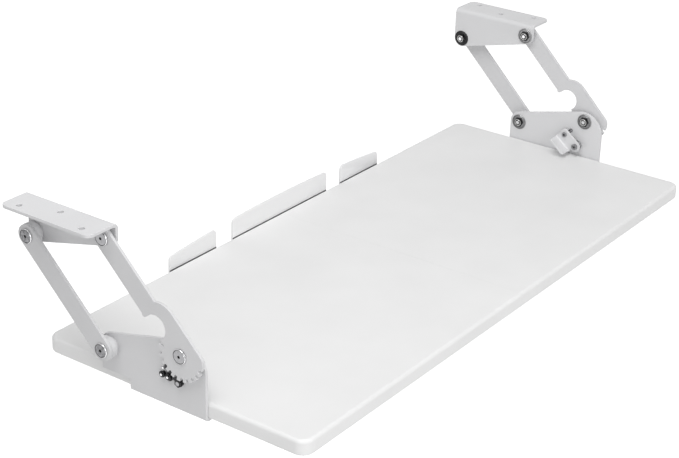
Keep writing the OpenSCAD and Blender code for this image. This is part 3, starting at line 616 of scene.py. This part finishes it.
# Lock nuts: a dark nickel-plated hexagon with a thin collar rolled over a white nylon ring.
# They are screwed on from inside, and the ring grips the thread.
nickel = surface("nickel", (0.015, 0.015, 0.017), (0.06, 0.06, 0.062), 1.0, 0.14, 2400.0, 0.05,
                 drift=700.0)
nylon = surface("nylon", (0.78, 0.78, 0.76), (0.84, 0.84, 0.82), 0.0, 0.45, 900.0, 0.10)
metal, insert = range(2)
low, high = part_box("left_upper_nuts")
nut_h = high.x - low.x
hex_r = 0.005 / math.cos(math.radians(30.0))
hex_h = nut_h - 0.0008
collar_r = 0.0044
body = turned(6, [nickel, nylon], [
    (hole_r, 0.0, metal),
    (hex_r - 0.0003, 0.0, metal),
    (hex_r, 0.0002, metal),
    (hex_r, hex_h - 0.0003, metal),
    (hex_r - 0.0005, hex_h, metal),
    (hole_r, hex_h, metal),
    (hole_r, 0.0, metal),
])
collar = turned(48, [nickel, nylon], [
    (hole_r, hex_h - 0.0002, metal),
    (collar_r, hex_h - 0.0002, metal),
    (collar_r, nut_h - 0.0003, metal),
    (collar_r - 0.0002, nut_h, metal),
    (collar_r - 0.0005, nut_h, metal),
    (collar_r - 0.0006, nut_h - 0.0001, insert),
    (collar_r - 0.0010, nut_h - 0.0001, insert),
    (hole_r, nut_h - 0.0003, metal),
    (hole_r, hex_h - 0.0002, metal),
])
nut = together([body, collar])
smoothed(nut)
for side, outward in (("left", -1), ("right", 1)):
    for level in ("upper", "lower"):
        washer_back = end_of("%s_%s_washers" % (side, level), outward).x
        pair = pair_of(nut, side, level, washer_back - outward * thick, -outward)
        fitted(together(pair), "%s_%s_nuts" % (side, level))
bpy.data.objects.remove(nut)

# Release lever: a small plate of brushed steel with a bent finger tab, inside the base bracket.
# It turns on one screw, which a nickel-plated nut holds outside, and a second screw ties it to the
# pawl through a slot and a turned sleeve. Both screws have cross recesses, painted near black as
# painted shade.
lever_edge = 0.0004
sleeve_edge = 0.0002
head_edge = 0.00012
nut_edge = 0.0003
recess_top = 0.00035
recess_foot = 0.0016
recess_r = 0.0018


def recess_shade_at(spot):
    """A test for the faces of the cross recess in a screw's head that has its middle at a spot.
    Those faces are painted near black as painted shade.
    """
    def sunk(face):
        off = face.center - spot
        return recess_top < abs(off.x) < recess_foot and math.hypot(off.y, off.z) < recess_r

    return sunk


brushed = surface("brushed", (0.64, 0.64, 0.65), (0.71, 0.71, 0.72), 0.15, 0.36, 500.0, 0.12,
                  stretch=(1.0, 0.12, 1.0))
for side, outward in (("left", -1), ("right", 1)):
    refined(side + "_release_lever", brushed, lever_edge, sheet_steps)
    refined(side + "_lever_sleeve", zinc, sleeve_edge)
    for part in ("_lever_screw", "_lever_pivot"):
        screw = refined(side + part, ground, head_edge)
        touched(screw, black_and_painted_shade, recess_shade_at(end_of(side + part, -outward)))
    refined(side + "_lever_pivot_nut", nickel, nut_edge)

# The pawl outside the base bracket: a stamped nickel-plated plate, polished on its inner face and
# on its pin. A rivet holds the pin, and the spring's stud is riveted to the bracket beside it.
# The middles of their domed heads are given the polished finish as painted highlights.
pawl_x = -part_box("left_ratchet_pawl")[1].x
pawl_t = 0.0022
pawl_edge = 0.0003
highlight_r = 0.0011


def shining(face):
    """The pawl's inner face, and its pin apart from the pin's chamfer."""
    x = abs(face.center.x)
    chamfer = 0.1 < abs(face.normal.x) < 0.95
    return x < pawl_x + tiny or x > pawl_x + pawl_t + tiny and not chamfer


for side, outward in (("left", -1), ("right", 1)):
    touched(refined(side + "_ratchet_pawl", nickel, pawl_edge), polished, shining)
    for part in ("_pawl_rivet", "_spring_stud"):
        highlight_middle = end_of(side + part, outward)
        head = refined(side + part, nickel, 0.0)
        # The dome's middle takes the polished finish: a painted highlight.
        touched(head, polished, lambda face: (face.center - highlight_middle).length < highlight_r)

# The pawl's spring: dark wire wound round the lever's pivot, one leg on the stud and one on the
# lever's screw.
wire = surface("wire", (0.28, 0.28, 0.29), (0.36, 0.36, 0.37), 1.0, 0.32, 1800.0, 0.05,
               drift=200.0)
wire_gain = 0.00005
for side in ("left", "right"):
    node = side + "_pawl_spring"
    spring = merged(node)
    bpy.ops.object.mode_set(mode="EDIT")
    bpy.ops.mesh.select_all(action="SELECT")
    bpy.ops.transform.shrink_fatten(value=wire_gain)
    bpy.ops.object.mode_set(mode="OBJECT")
    rounder = spring.modifiers.new("rounder", "SUBSURF")
    rounder.levels = rounder.render_levels = 2
    bpy.ops.object.modifier_apply(modifier="rounder")
    smoothed(spring)
    coated(spring, wire)
    stud, screw = (sum(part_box(side + part), Vector()) / 2
                   for part in ("_spring_stud", "_lever_screw"))
    stud.x = screw.x
    stands_for(spring, node)
    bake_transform(spring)
